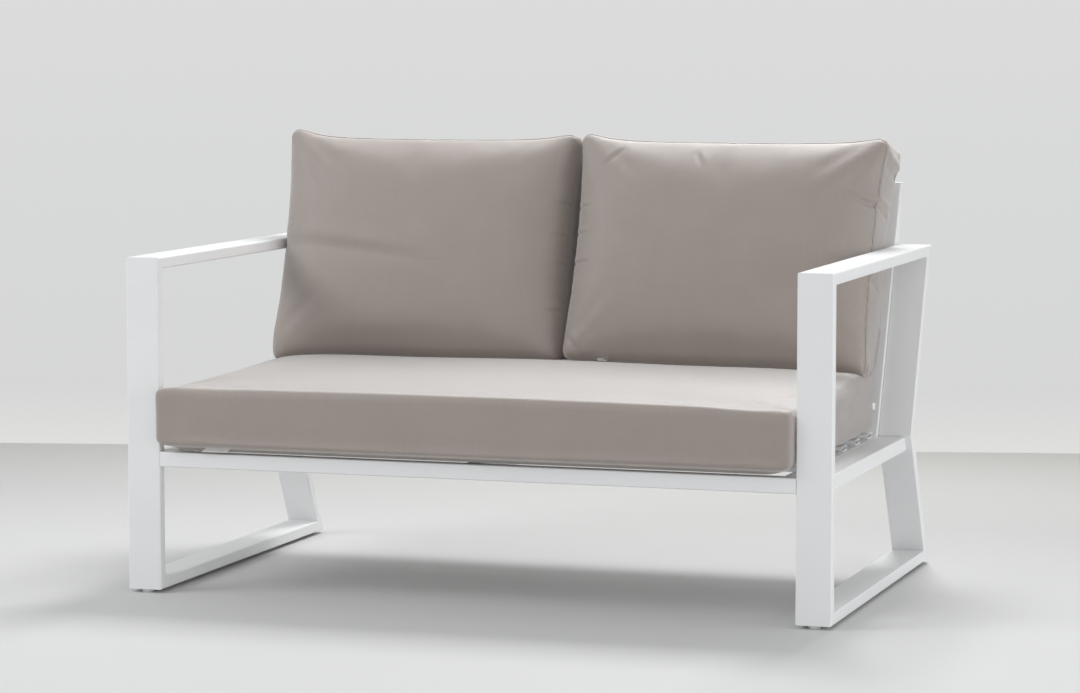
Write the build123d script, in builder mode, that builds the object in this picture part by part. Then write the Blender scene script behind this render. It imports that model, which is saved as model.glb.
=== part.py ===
from build123d import *
from math import atan, cos, degrees, radians, sin, tan
import os

# A patio loveseat: two looped side frames of flat aluminium tube, a seat frame and a backrest
# bolted between them, one box seat cushion and two back cushions that lift off, and four
# screw feet. X runs across the seat, Y from front to back, Z up from the floor.
# Left and right are as seen from in front. The origin lies on the floor, midway in both plan sizes.

os.makedirs("parts", exist_ok=True)

# Overall sizes
overall_width = 1440
frame_depth = 875
arm_height = 664
foot_height = 7
seat_overhang = 30

# Side frame: flat tube laid with its broad side across, and the bend of its rear leg
side_tube_width = 70
side_tube_depth = 23
side_tube_wall = 2
side_tube_radius = 3
bend_setback = 154.5
bend_height = 284

# Seat frame
rail_size = 30
rail_wall = 1.8
rail_radius = 2.8
side_rail_width = 55
rail_top_height = 278
rear_rail_setback = 157
slat_width = 40
slat_thickness = 10
slat_wall = 1.4
slat_radius = 2.4
slat_bearing = 20
seat_slat_count = 6
seat_slat_front_space = 78
seat_slat_rear_space = 25

# Backrest
post_top_height = 791
post_cap_plate = 2
post_cap_plug = 12
post_cap_clearance = 0.2
back_lower_rail_way = 178
back_top_rail_drop = 30
back_slat_count = 8

# Screws that hold the seat frame and the backrest to the side frames
screw_diameter = 6
screw_head_diameter = 12
screw_head_height = 3.6
screw_head_chamfer = 1
screw_socket = 4
screw_socket_depth = 2
screw_grip = 12
screw_hole_clearance = 0.3
washer_diameter = 15
washer_thickness = 1.2
insert_diameter = 9
insert_length = 14
thread_clearance = 0.05
seat_screw_count = 3
seat_screw_margin = 60
back_screw_low_margin = 80
back_screw_high_margin = 90

# Feet
pad_diameter = 24
pad_chamfer = 2
stud_diameter = 6
stud_socket = 4
stud_end_gap = 2
foot_insert_diameter = 12
foot_insert_height = 10
front_foot_setback = 14
rear_foot_setback = 35

# Cushions
cover_thickness = 1.5
cushion_clearance = 0.3
side_clearance = 1
seat_boxing_height = 117
seat_front_bulge = 4
seat_edge_radius = 20
seat_lower_radius = 9
seat_crown = 22
seat_rear_gap = 5
seat_front_pull = 4
back_cushion_height = 484
back_cushion_depth = 135
back_cushion_lean = degrees(atan(0.33))
back_cushion_rise = 15
back_corner_radius = 22
back_side_pull = 7
back_front_crown = 22
back_rear_crown = 28
back_rest_clearance = 1.5
zip_width = 18
zip_thickness = 0.8
seat_zip_length = 900
back_zip_length = 420
zip_pull_length = 24
zip_pull_width = 8
zip_pull_thickness = 1.2
label_thickness = 0.6
seat_tag_size = (6, 14)
seat_tag_height = 55
seat_tag_inset = 9
seat_label_size = (51, 8)
seat_label_setback = 127
back_label_size = (13, 6)
back_label_place = 86

# One overrun serves every cut and every tube before its ends are cut
cut_overrun = 60

# Places that several pieces share
post_overhang = (post_top_height - arm_height) * bend_setback / (arm_height - bend_height)
plan_depth = seat_overhang + frame_depth + post_overhang
front_y = seat_overhang - plan_depth / 2
rear_y = front_y + frame_depth
side_inner_x = overall_width / 2 - side_tube_width
side_centre_x = overall_width / 2 - side_tube_width / 2
rail_top_z = foot_height + rail_top_height
rail_centre_z = rail_top_z - rail_size / 2
deck_top_z = rail_top_z + slat_thickness
post_centre_x = side_inner_x - rail_size / 2
post_inner_x = side_inner_x - rail_size
rear_rail_front = rear_y - rear_rail_setback - rail_size
deck_front_y = front_y + rail_size
sides = (("left", -1), ("right", 1))


def write_part(piece, label):
    """Give the finished piece its name and write it to its own file."""
    piece.part.label = label
    export_step(piece.part, f"parts/{label}.step")


def hollow_section(width, depth, wall, radius):
    """The rounded box section of a drawn tube."""
    RectangleRounded(width, depth, radius)
    RectangleRounded(width - 2 * wall, depth - 2 * wall, radius - wall, mode=Mode.SUBTRACT)


def in_side(x, point):
    """A point of the side view, given as its Y and Z, at one X."""
    return Vector(x, point.X, point.Y)


# Side frames. Each is a closed loop of five mitred tubes. The corners of its outer outline are
# given in the side view, and every mitre plane halves the corner between its two tubes.
bend_point = Vector(rear_y - bend_setback, foot_height + bend_height)
outline = [
    Vector(front_y, foot_height),
    Vector(front_y, foot_height + arm_height),
    Vector(rear_y, foot_height + arm_height),
    bend_point,
    Vector(rear_y, foot_height),
]
tube_names = ["front_leg", "armrest", "upper_rear_leg", "lower_rear_leg", "floor_runner"]
corner_count = len(outline)
run_directions = [
    (outline[(i + 1) % corner_count] - outline[i]).normalized() for i in range(corner_count)
]
inward_normals = [Vector(run.Y, -run.X) for run in run_directions]
lower_leg_run = tube_names.index("lower_rear_leg")
upper_leg_run = tube_names.index("upper_rear_leg")

# The backrest lies along the upper rear legs: way up along the leg, forward square to it
way_up = -run_directions[upper_leg_run]
forward = inward_normals[upper_leg_run]
leg_way = (arm_height - bend_height) / way_up.Y
back_top_rail_way = (post_top_height - bend_height) / way_up.Y - back_top_rail_drop


def on_back(x, way, out):
    """A point of the backrest: so far up along the leg and so far forward of its rear face."""
    return in_side(x, bend_point + way_up * way + forward * out)


# Screw places: each plane stands on the inner face of an end rail or a post and faces outwards
seat_screw_pitch = (rear_rail_front - deck_front_y - 2 * seat_screw_margin) / (seat_screw_count - 1)
seat_screw_planes = [
    Plane(
        origin=(
            side * post_inner_x,
            deck_front_y + seat_screw_margin + i * seat_screw_pitch,
            rail_centre_z,
        ),
        z_dir=(side, 0, 0),
    )
    for _, side in sides
    for i in range(seat_screw_count)
]
back_screw_planes = [
    Plane(origin=on_back(side * post_inner_x, way, rail_size / 2), z_dir=(side, 0, 0))
    for _, side in sides
    for way in (back_screw_low_margin, leg_way - back_screw_high_margin)
]
foot_places = {
    "front": front_y + front_foot_setback,
    "rear": rear_y - rear_foot_setback,
}


def side_planes(planes, side):
    """Those of the screw planes that lie on one side."""
    return [plane for plane in planes if plane.origin.X * side > 0]


for side_name, side in sides:
    for i, tube_name in enumerate(tube_names):
        start = in_side(side * side_centre_x, outline[i] + inward_normals[i] * (side_tube_depth / 2))
        run = in_side(0, run_directions[i])
        length = (outline[(i + 1) % corner_count] - outline[i]).length
        start_mitre = Plane(
            origin=in_side(0, outline[i]),
            z_dir=in_side(0, run_directions[i - 1] + run_directions[i]),
        )
        end_mitre = Plane(
            origin=in_side(0, outline[(i + 1) % corner_count]),
            z_dir=-in_side(0, run_directions[i] + run_directions[(i + 1) % corner_count]),
        )
        with BuildPart() as side_tube:
            with BuildSketch(Plane(origin=start - run * cut_overrun, x_dir=(1, 0, 0), z_dir=run)):
                hollow_section(side_tube_width, side_tube_depth, side_tube_wall, side_tube_radius)
            extrude(amount=length + 2 * cut_overrun)
            split(bisect_by=start_mitre, keep=Keep.TOP)
            split(bisect_by=end_mitre, keep=Keep.TOP)
            if tube_name == "floor_runner":
                # Holes in the underside for the two screw feet
                for foot_y in foot_places.values():
                    with BuildSketch(Plane.XY.offset(foot_height)):
                        with Locations((side * side_centre_x, foot_y)):
                            Circle(stud_diameter / 2 + screw_hole_clearance)
                    extrude(amount=side_tube_wall, mode=Mode.SUBTRACT)
            if tube_name == "upper_rear_leg":
                # Holes in the inner face for the backrest's threaded inserts
                with BuildSketch(*[p.offset(rail_size) for p in side_planes(back_screw_planes, side)]):
                    Circle(insert_diameter / 2)
                extrude(amount=side_tube_wall, mode=Mode.SUBTRACT)
        write_part(side_tube, f"{side_name}_{tube_name}")

# Seat side rails, welded between the front leg and the bend of the rear leg
leg_face = Plane(
    origin=in_side(0, bend_point + inward_normals[lower_leg_run] * side_tube_depth),
    z_dir=in_side(0, inward_normals[lower_leg_run]),
)
for side_name, side in sides:
    with BuildPart() as side_rail:
        with BuildSketch(
            Plane(
                origin=(
                    side * (side_inner_x + side_rail_width / 2),
                    front_y + side_tube_depth,
                    rail_centre_z,
                ),
                x_dir=(1, 0, 0),
                z_dir=(0, 1, 0),
            )
        ):
            hollow_section(side_rail_width, rail_size, rail_wall, rail_radius)
        extrude(amount=frame_depth)
        split(bisect_by=leg_face, keep=Keep.TOP)
        # Holes for the seat frame's threaded inserts
        with BuildSketch(*[p.offset(rail_size) for p in side_planes(seat_screw_planes, side)]):
            Circle(insert_diameter / 2)
        extrude(amount=rail_wall, mode=Mode.SUBTRACT)
    write_part(side_rail, f"{side_name}_seat_side_rail")

# Seat frame: front and rear rails over the whole inner width
for rail_name, rail_y in (("front", front_y), ("rear", rear_rail_front)):
    with BuildPart() as cross_rail:
        with BuildSketch(
            Plane(
                origin=(-side_inner_x, rail_y + rail_size / 2, rail_centre_z),
                x_dir=(0, 1, 0),
                z_dir=(1, 0, 0),
            )
        ):
            hollow_section(rail_size, rail_size, rail_wall, rail_radius)
        extrude(amount=2 * side_inner_x)
    write_part(cross_rail, f"{rail_name}_seat_rail")

# End rails and the centre rail, welded between the front and rear rails
for rail_name, rail_x in (
    ("left_seat_end_rail", -post_centre_x),
    ("centre_seat_rail", 0),
    ("right_seat_end_rail", post_centre_x),
):
    with BuildPart() as deck_rail:
        with BuildSketch(
            Plane(
                origin=(rail_x, deck_front_y, rail_centre_z),
                x_dir=(1, 0, 0),
                z_dir=(0, 1, 0),
            )
        ):
            hollow_section(rail_size, rail_size, rail_wall, rail_radius)
        extrude(amount=rear_rail_front - deck_front_y)
        if rail_x != 0:
            # Through holes for the screws into the side rail
            with BuildSketch(*side_planes(seat_screw_planes, rail_x)):
                Circle(screw_diameter / 2 + screw_hole_clearance)
            extrude(amount=rail_size, mode=Mode.SUBTRACT)
    write_part(deck_rail, rail_name)

# Seat slats: flat tubes across the end rails and the centre rail
seat_slat_length = 2 * (post_inner_x + slat_bearing)
first_slat_y = deck_front_y + seat_slat_front_space
last_slat_y = rear_rail_front - seat_slat_rear_space
seat_slat_pitch = (last_slat_y - first_slat_y) / (seat_slat_count - 1)
with BuildPart() as seat_slats:
    with BuildSketch(
        *[
            Plane(
                origin=(
                    -seat_slat_length / 2,
                    first_slat_y + i * seat_slat_pitch,
                    rail_top_z + slat_thickness / 2,
                ),
                x_dir=(0, 1, 0),
                z_dir=(1, 0, 0),
            )
            for i in range(seat_slat_count)
        ]
    ):
        hollow_section(slat_width, slat_thickness, slat_wall, slat_radius)
    extrude(amount=seat_slat_length)
write_part(seat_slats, "seat_slats")

# Backrest posts stand on the rear seat rail beside the rear legs and are cut level at both ends
post_top_z = foot_height + post_top_height
for side_name, side in sides:
    with BuildPart() as back_post:
        with BuildSketch(
            Plane(
                origin=on_back(side * post_centre_x, -cut_overrun, rail_size / 2),
                x_dir=(1, 0, 0),
                z_dir=in_side(0, way_up),
            )
        ):
            hollow_section(rail_size, rail_size, rail_wall, rail_radius)
        extrude(amount=post_top_height)
        split(bisect_by=Plane.XY.offset(rail_top_z), keep=Keep.TOP)
        split(bisect_by=Plane.XY.offset(post_top_z - post_cap_plate), keep=Keep.BOTTOM)
        with BuildSketch(*side_planes(back_screw_planes, side)):
            Circle(screw_diameter / 2 + screw_hole_clearance)
        extrude(amount=rail_size, mode=Mode.SUBTRACT)
    write_part(back_post, f"{side_name}_backrest_post")

# Plastic caps close the posts: a plate over the cut end and a plug down inside it
with BuildPart() as post_caps:
    for _, side in sides:
        cap_plane = Plane(
            origin=on_back(side * post_centre_x, -cut_overrun, rail_size / 2),
            x_dir=(1, 0, 0),
            z_dir=in_side(0, way_up),
        )
        plug_size = rail_size - 2 * rail_wall - 2 * post_cap_clearance
        with BuildPart(mode=Mode.PRIVATE) as cap_plate:
            with BuildSketch(cap_plane):
                RectangleRounded(rail_size, rail_size, rail_radius)
            extrude(amount=post_top_height + cut_overrun)
            split(bisect_by=Plane.XY.offset(post_top_z), keep=Keep.BOTTOM)
            split(bisect_by=Plane.XY.offset(post_top_z - post_cap_plate), keep=Keep.TOP)
        with BuildPart(mode=Mode.PRIVATE) as cap_plug:
            with BuildSketch(cap_plane):
                RectangleRounded(plug_size, plug_size, rail_radius - rail_wall)
            extrude(amount=post_top_height + cut_overrun)
            split(bisect_by=Plane.XY.offset(post_top_z - post_cap_plate), keep=Keep.BOTTOM)
            split(
                bisect_by=Plane.XY.offset(post_top_z - post_cap_plate - post_cap_plug),
                keep=Keep.TOP,
            )
        add(cap_plate.part)
        add(cap_plug.part)
write_part(post_caps, "backrest_post_caps")

# Backrest rails between the posts
for rail_name, way in (("lower", back_lower_rail_way), ("top", back_top_rail_way)):
    with BuildPart() as back_rail:
        with BuildSketch(
            Plane(
                origin=on_back(-post_inner_x, way, rail_size / 2),
                x_dir=in_side(0, way_up),
                z_dir=(1, 0, 0),
            )
        ):
            hollow_section(rail_size, rail_size, rail_wall, rail_radius)
        extrude(amount=2 * post_inner_x)
    write_part(back_rail, f"backrest_{rail_name}_rail")

# Backrest slats, upright on the front of both rails
back_slat_pitch = 2 * post_inner_x / back_slat_count
with BuildPart() as back_slats:
    with BuildSketch(
        *[
            Plane(
                origin=on_back(
                    (i - (back_slat_count - 1) / 2) * back_slat_pitch,
                    back_lower_rail_way - rail_size / 2,
                    rail_size + slat_thickness / 2,
                ),
                x_dir=(1, 0, 0),
                z_dir=in_side(0, way_up),
            )
            for i in range(back_slat_count)
        ]
    ):
        hollow_section(slat_width, slat_thickness, slat_wall, slat_radius)
    extrude(amount=back_top_rail_way - back_lower_rail_way + rail_size)
write_part(back_slats, "backrest_slats")

# Screws, washers and threaded inserts, in one set for the seat frame and one for the backrest
for set_name, planes in (("seat_frame", seat_screw_planes), ("backrest", back_screw_planes)):
    with BuildPart() as screws:
        with BuildSketch(*[plane.offset(-washer_thickness - screw_head_height) for plane in planes]):
            Circle(screw_head_diameter / 2)
        extrude(amount=screw_head_height)
        chamfer(
            [
                edge
                for edge in screws.edges().filter_by(GeomType.CIRCLE)
                if abs(edge.center().X) < post_inner_x - washer_thickness - screw_head_height / 2
            ],
            screw_head_chamfer,
        )
        with BuildSketch(*[plane.offset(-washer_thickness) for plane in planes]):
            Circle(screw_diameter / 2)
        extrude(amount=washer_thickness + rail_size + screw_grip)
        with BuildSketch(*[plane.offset(-washer_thickness - screw_head_height) for plane in planes]):
            RegularPolygon(screw_socket / 2, 6, major_radius=False)
        extrude(amount=screw_socket_depth, mode=Mode.SUBTRACT)
    write_part(screws, f"{set_name}_screws")

    with BuildPart() as washers:
        with BuildSketch(*[plane.offset(-washer_thickness) for plane in planes]):
            Circle(washer_diameter / 2)
            Circle(screw_diameter / 2 + screw_hole_clearance, mode=Mode.SUBTRACT)
        extrude(amount=washer_thickness)
    write_part(washers, f"{set_name}_washers")

    with BuildPart() as inserts:
        with BuildSketch(*[plane.offset(rail_size) for plane in planes]):
            Circle(insert_diameter / 2)
            Circle(screw_diameter / 2 + thread_clearance, mode=Mode.SUBTRACT)
        extrude(amount=insert_length)
    write_part(inserts, f"{set_name}_inserts")

# Feet: a plastic pad moulded on a threaded stud, and the insert in the runner that it screws into
runner_floor_z = foot_height + side_tube_wall
with BuildPart() as foot_inserts:
    with BuildSketch(Plane.XY.offset(runner_floor_z)):
        with Locations(
            *[(side * side_centre_x, foot_y) for _, side in sides for foot_y in foot_places.values()]
        ):
            Circle(foot_insert_diameter / 2)
            Circle(stud_diameter / 2, mode=Mode.SUBTRACT)
    extrude(amount=foot_insert_height)
write_part(foot_inserts, "foot_inserts")

stud_top_z = foot_height + side_tube_depth - side_tube_wall - stud_end_gap
for side_name, side in sides:
    for end_name, foot_y in foot_places.items():
        with BuildPart() as foot_pad:
            with BuildSketch():
                with Locations((side * side_centre_x, foot_y)):
                    Circle(pad_diameter / 2)
            extrude(amount=foot_height)
            chamfer(foot_pad.edges().group_by(Axis.Z)[0], pad_chamfer)
            with BuildSketch(Plane.XY.offset(foot_height - stud_socket)):
                with Locations((side * side_centre_x, foot_y)):
                    Circle(stud_diameter / 2 - thread_clearance)
            extrude(amount=stud_socket, mode=Mode.SUBTRACT)
        write_part(foot_pad, f"{end_name}_{side_name}_foot_pad")

        with BuildPart() as foot_stud:
            with BuildSketch(Plane.XY.offset(foot_height - stud_socket)):
                with Locations((side * side_centre_x, foot_y)):
                    Circle(stud_diameter / 2 - thread_clearance)
            extrude(amount=stud_top_z - foot_height + stud_socket)
        write_part(foot_stud, f"{end_name}_{side_name}_foot_stud")

# Places of the cushions. The seat cushion lies on the slats between the side frames. The back
# cushions stand on its crown and lean back until their rear crown meets the backrest slats.
# Shares give how far each crown section draws in and how much of the crown it has.
seat_half_width = side_inner_x - side_clearance
seat_bottom_z = deck_top_z + cushion_clearance
seat_front_y = front_y - seat_overhang + seat_front_bulge
seat_rear_y = on_back(0, 0, rail_size).Y - seat_rear_gap
back_half_width = (seat_half_width - cushion_clearance) / 2
back_bottom_z = seat_bottom_z + seat_boxing_height + seat_crown + cushion_clearance
lean = radians(back_cushion_lean)
cushion_up = Vector(sin(lean), cos(lean))
cushion_back = Vector(cos(lean), -sin(lean))
crown_section_shares = ((0, 0), (0.14, 0.52), (0.38, 0.86), (0.72, 1))
slat_face = bend_point + forward * (rail_size + slat_thickness + back_rest_clearance)


def rest_y(inset_share, crown_share):
    """Where the front seam stands when this section of the rear crown meets the slats."""
    back = cushion_back * (back_cushion_depth + back_rear_crown * crown_share)
    up = cushion_up * (back_cushion_depth * tan(lean) + back_cushion_height / 2 * inset_share)
    reach = slat_face - Vector(0, back_bottom_z) - back - up
    return reach.dot(forward) / forward.X


back_front_y = min(rest_y(*shares) for shares in crown_section_shares)
seat_level_y = back_front_y - back_front_crown

# Seat cushion: one box cushion. Its top and front are one panel that wraps over a soft front
# edge, its ends are flat side panels, and it is level under the back cushions. Each section is a
# side view. Shares give where it stands from the middle and how much of the crown it has.
seat_section_shares = ((1, 0.04), (0.94, 0.42), (0.7, 0.85), (0, 1))


def seat_section(x, crown_share, skin):
    """The cushion's side view at one X, drawn smaller all round by the skin."""
    y0 = seat_front_y + skin + seat_front_pull * (1 - crown_share)
    y1 = seat_rear_y - skin
    z0 = seat_bottom_z + skin
    z1 = seat_bottom_z + seat_boxing_height - skin
    z2 = z1 + seat_crown * crown_share
    low = seat_lower_radius
    high = seat_edge_radius
    cut = 1 - cos(radians(45))
    with BuildSketch(Plane(origin=(x, 0, 0), x_dir=(0, 1, 0), z_dir=(1, 0, 0))) as section:
        with BuildLine():
            Line((y0 + low, z0), (y1 - low, z0))
            ThreePointArc((y1 - low, z0), (y1 - low * cut, z0 + low * cut), (y1, z0 + low))
            Line((y1, z0 + low), (y1, z2 - high))
            ThreePointArc((y1, z2 - high), (y1 - high * cut, z2 - high * cut), (y1 - high, z2))
            Line((y1 - high, z2), (seat_level_y, z2))
            TangentArc((seat_level_y, z2), (y0 + high, z1), tangent=(-1, 0))
            ThreePointArc((y0 + high, z1), (y0 + high * cut, z1 - high * cut), (y0, z1 - high))
            ThreePointArc(
                (y0, z1 - high),
                (y0 - seat_front_bulge * crown_share, (z0 + z1) / 2),
                (y0, z0 + low),
            )
            ThreePointArc((y0, z0 + low), (y0 + low * cut, z0 + low * cut), (y0 + low, z0))
        make_face()
    return section.sketch


def seat_form(skin, mode=Mode.ADD):
    """The whole seat cushion as one loft from side panel to side panel."""
    places = [(-share, crown) for share, crown in seat_section_shares]
    places += [(share, crown) for share, crown in reversed(seat_section_shares[:-1])]
    loft(
        [seat_section(share * (seat_half_width - skin), crown, skin) for share, crown in places],
        mode=mode,
    )


with BuildPart() as seat_cover:
    seat_form(0)
    seat_form(cover_thickness, mode=Mode.SUBTRACT)
write_part(seat_cover, "seat_cushion_cover")

with BuildPart() as seat_foam:
    seat_form(cover_thickness + cushion_clearance)
write_part(seat_foam, "seat_cushion_foam")

# The zip runs along the middle of the cushion's rear side, its slider at one end
rear_plane = Plane(
    origin=(0, seat_rear_y, seat_bottom_z + seat_boxing_height / 2),
    x_dir=(-1, 0, 0),
    z_dir=(0, 1, 0),
)
with BuildPart() as seat_zip:
    with BuildSketch(rear_plane):
        RectangleRounded(seat_zip_length, zip_width, zip_width / 3)
    extrude(amount=zip_thickness)
    with BuildSketch(rear_plane.offset(zip_thickness)):
        with Locations((seat_zip_length / 2 - zip_pull_length, 0)):
            RectangleRounded(zip_pull_length, zip_pull_width, zip_pull_width / 3)
    extrude(amount=zip_pull_thickness)
write_part(seat_zip, "seat_cushion_zip")

# Two blank labels: a tag that stands out behind the right rear corner, and a wide one that hangs
# from the underside at the left, behind the front rail's face
tag_y = seat_rear_y + seat_tag_size[0] / 2
label_y = front_y + rail_size / 2
with BuildPart() as seat_labels:
    with BuildSketch(
        Plane(
            origin=(seat_half_width - seat_tag_inset, tag_y, seat_bottom_z + seat_tag_height),
            x_dir=(0, 1, 0),
            z_dir=(1, 0, 0),
        )
    ):
        Rectangle(*seat_tag_size)
    extrude(amount=label_thickness)
    with BuildSketch(
        Plane(
            origin=(seat_label_setback - seat_half_width, label_y, seat_bottom_z - seat_label_size[1] / 2),
            x_dir=(1, 0, 0),
            z_dir=(0, -1, 0),
        )
    ):
        Rectangle(*seat_label_size)
    extrude(amount=label_thickness)
write_part(seat_labels, "seat_cushion_labels")

# Back cushions: boxed cushions with a seam round the front and the rear face. Each section lies
# square to the lean. The boxing runs between the two seams, and each face is crowned. The sides
# and the top are drawn in between the corners, and the bottom is flat.


def back_section(centre_x, depth, inset, skin):
    """The cushion's outline at one depth behind its front seam, drawn in by an inset."""
    boxed = min(max(depth, 0), back_cushion_depth)
    half = back_half_width - inset - skin
    low = boxed * tan(lean) + inset + skin
    high = back_cushion_height + back_cushion_rise * boxed / back_cushion_depth - inset - skin
    corner = back_corner_radius
    cut = corner * (1 - cos(radians(45)))
    middle = (low + high) / 2
    pull = back_side_pull
    seam_plane = Plane(
        origin=(centre_x, back_front_y, back_bottom_z),
        x_dir=(1, 0, 0),
        z_dir=-in_side(0, cushion_back),
    )
    with BuildSketch(seam_plane.offset(-depth)) as section:
        with BuildLine():
            Line((-half + corner, low), (half - corner, low))
            ThreePointArc((half - corner, low), (half - cut, low + cut), (half, low + corner))
            ThreePointArc((half, low + corner), (half - pull, middle), (half, high - corner))
            ThreePointArc((half, high - corner), (half - cut, high - cut), (half - corner, high))
            ThreePointArc((half - corner, high), (0, high - pull), (-half + corner, high))
            ThreePointArc((-half + corner, high), (-half + cut, high - cut), (-half, high - corner))
            ThreePointArc((-half, high - corner), (-half + pull, middle), (-half, low + corner))
            ThreePointArc((-half, low + corner), (-half + cut, low + cut), (-half + corner, low))
        make_face()
    return section.sketch


def back_form(centre_x, skin, mode=Mode.ADD):
    """Boxing between the two seams, then the crowned front and rear faces."""
    seams = (skin, back_cushion_depth - skin)
    loft([back_section(centre_x, depth, 0, skin) for depth in seams], mode=mode)
    for seam_depth, crown in zip(seams, (-back_front_crown, back_rear_crown)):
        loft(
            [
                back_section(
                    centre_x,
                    seam_depth + crown * crown_share,
                    back_cushion_height / 2 * inset_share,
                    skin,
                )
                for inset_share, crown_share in crown_section_shares
            ],
            mode=mode,
        )


zip_y = back_front_y + back_cushion_depth / cos(lean) / 2
for side_name, side in sides:
    centre_x = side * (back_half_width + cushion_clearance / 2)

    # The zip lies flush in the bottom panel, its pull beyond one end
    with BuildPart() as back_zip:
        with BuildSketch(Plane.XY.offset(back_bottom_z)):
            with Locations((centre_x, zip_y)):
                RectangleRounded(back_zip_length, zip_width, zip_width / 3)
            with Locations((centre_x + back_zip_length / 2, zip_y)):
                RectangleRounded(2 * zip_pull_length, zip_pull_width, zip_pull_width / 3)
        extrude(amount=zip_thickness)
    write_part(back_zip, f"{side_name}_back_cushion_zip")

    with BuildPart() as back_cover:
        back_form(centre_x, 0)
        back_form(centre_x, cover_thickness, mode=Mode.SUBTRACT)
        add(back_zip.part, mode=Mode.SUBTRACT)
    write_part(back_cover, f"{side_name}_back_cushion_cover")

    with BuildPart() as back_filling:
        back_form(centre_x, cover_thickness + cushion_clearance)
    write_part(back_filling, f"{side_name}_back_cushion_filling")

# A blank label is sewn into the lower front seam of the right back cushion
with BuildPart() as back_label:
    with BuildSketch(Plane.XY.offset(back_bottom_z)):
        with Locations((back_label_place, back_front_y - cushion_clearance - back_label_size[1] / 2)):
            Rectangle(*back_label_size)
    extrude(amount=label_thickness)
write_part(back_label, "right_back_cushion_label")
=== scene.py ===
import math

import bmesh
import bpy
import numpy as np
from mathutils import Matrix, Vector, noise
from mathutils.bvhtree import BVHTree
from mathutils.kdtree import KDTree


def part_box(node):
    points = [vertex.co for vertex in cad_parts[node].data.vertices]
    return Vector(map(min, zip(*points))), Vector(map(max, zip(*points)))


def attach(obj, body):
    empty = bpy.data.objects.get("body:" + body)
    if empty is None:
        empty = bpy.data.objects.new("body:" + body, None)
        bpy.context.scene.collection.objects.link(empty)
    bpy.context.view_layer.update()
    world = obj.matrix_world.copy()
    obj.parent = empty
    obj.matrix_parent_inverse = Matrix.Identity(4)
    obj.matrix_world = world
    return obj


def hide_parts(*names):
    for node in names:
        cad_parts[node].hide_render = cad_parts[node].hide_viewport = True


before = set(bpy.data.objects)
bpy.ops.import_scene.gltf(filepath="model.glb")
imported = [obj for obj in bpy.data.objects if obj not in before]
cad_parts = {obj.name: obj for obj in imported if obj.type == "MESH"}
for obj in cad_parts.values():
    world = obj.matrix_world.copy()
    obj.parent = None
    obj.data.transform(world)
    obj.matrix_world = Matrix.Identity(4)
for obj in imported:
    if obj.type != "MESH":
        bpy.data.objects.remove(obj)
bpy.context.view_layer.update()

scene = bpy.context.scene


# Camera: the photograph was taken from seven metres away with a long lens, in front of the
# loveseat and to its right, from a little above the armrests.
def place_object(name, data):
    """A new object of the scene, made from its data."""
    placed = bpy.data.objects.new(name, data)
    scene.collection.objects.link(placed)
    return placed


camera_dip, camera_turn = 0.09391, 0.31784

camera_data = bpy.data.cameras.new("camera")
camera_data.sensor_fit = "HORIZONTAL"
camera_data.sensor_width = 36
camera_data.lens = 116.553
camera_data.clip_end = 60
camera = place_object("camera", camera_data)
camera.location = (2.22445, -6.76735, 1.14496)
camera.rotation_euler = (math.radians(90) - camera_dip, 0, camera_turn)
scene.camera = camera


# Studio: a pale floor that takes the shadow, and a pale wall two metres behind, turned a little
# against the seat. The wall is seen from its front only.
def link_mesh(name, shape):
    """Turns a bmesh into an object of the scene."""
    mesh = bpy.data.meshes.new(name)
    shape.to_mesh(mesh)
    shape.free()
    return place_object(name, mesh)


def clothe(piece, material):
    """Gives a made piece its one material."""
    piece.data.materials.clear()
    piece.data.materials.append(material)


def wire(tree, kind, inputs=None, **options):
    """Adds a node, sets its options, and fills its inputs with values or links."""
    node = tree.nodes.new("ShaderNode" + kind)
    for option, value in options.items():
        setattr(node, option, value)
    for socket, value in (inputs or {}).items():
        if isinstance(value, bpy.types.NodeSocket):
            tree.links.new(value, node.inputs[socket])
        else:
            node.inputs[socket].default_value = value
    return node


def maths(tree, operation, first, second=0.0):
    """The result of one Math node."""
    return wire(tree, "Math", {0: first, 1: second}, operation=operation).outputs[0]


def remap(tree, value, source=(0.0, 1.0), target=(0.0, 1.0)):
    """A value taken from one range to another, and held inside it."""
    ranges = dict(enumerate((*source, *target), start=1))
    return wire(tree, "MapRange", {0: value, **ranges}).outputs[0]


def ramp(tree, value, stops):
    """A value turned into colours, from stops that have a place and a colour each."""
    node = wire(tree, "ValToRGB", {0: value})
    elements = node.color_ramp.elements
    while len(elements) > 1:
        elements.remove(elements[0])
    for i, (place, colour) in enumerate(stops):
        stop = elements[0] if i == 0 else elements.new(place)
        stop.position = place
        stop.color = (*colour, 1)
    return node.outputs[0]


def direct_rays(tree):
    """1 for rays that see a backdrop straight, mirrored or through glass, and 0 for the others."""
    rays = wire(tree, "LightPath").outputs
    mirrored = maths(tree, "MAXIMUM", rays["Is Camera Ray"], rays["Is Glossy Ray"])
    return maths(tree, "MAXIMUM", mirrored, rays["Is Transmission Ray"])


def blank_material(name):
    """A material with only its output node, its tree, and that output's surface socket."""
    material = bpy.data.materials.new(name)
    material.use_nodes = True
    material.node_tree.nodes.clear()
    output = material.node_tree.nodes.new("ShaderNodeOutputMaterial")
    return material, material.node_tree, output.inputs["Surface"]


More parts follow.
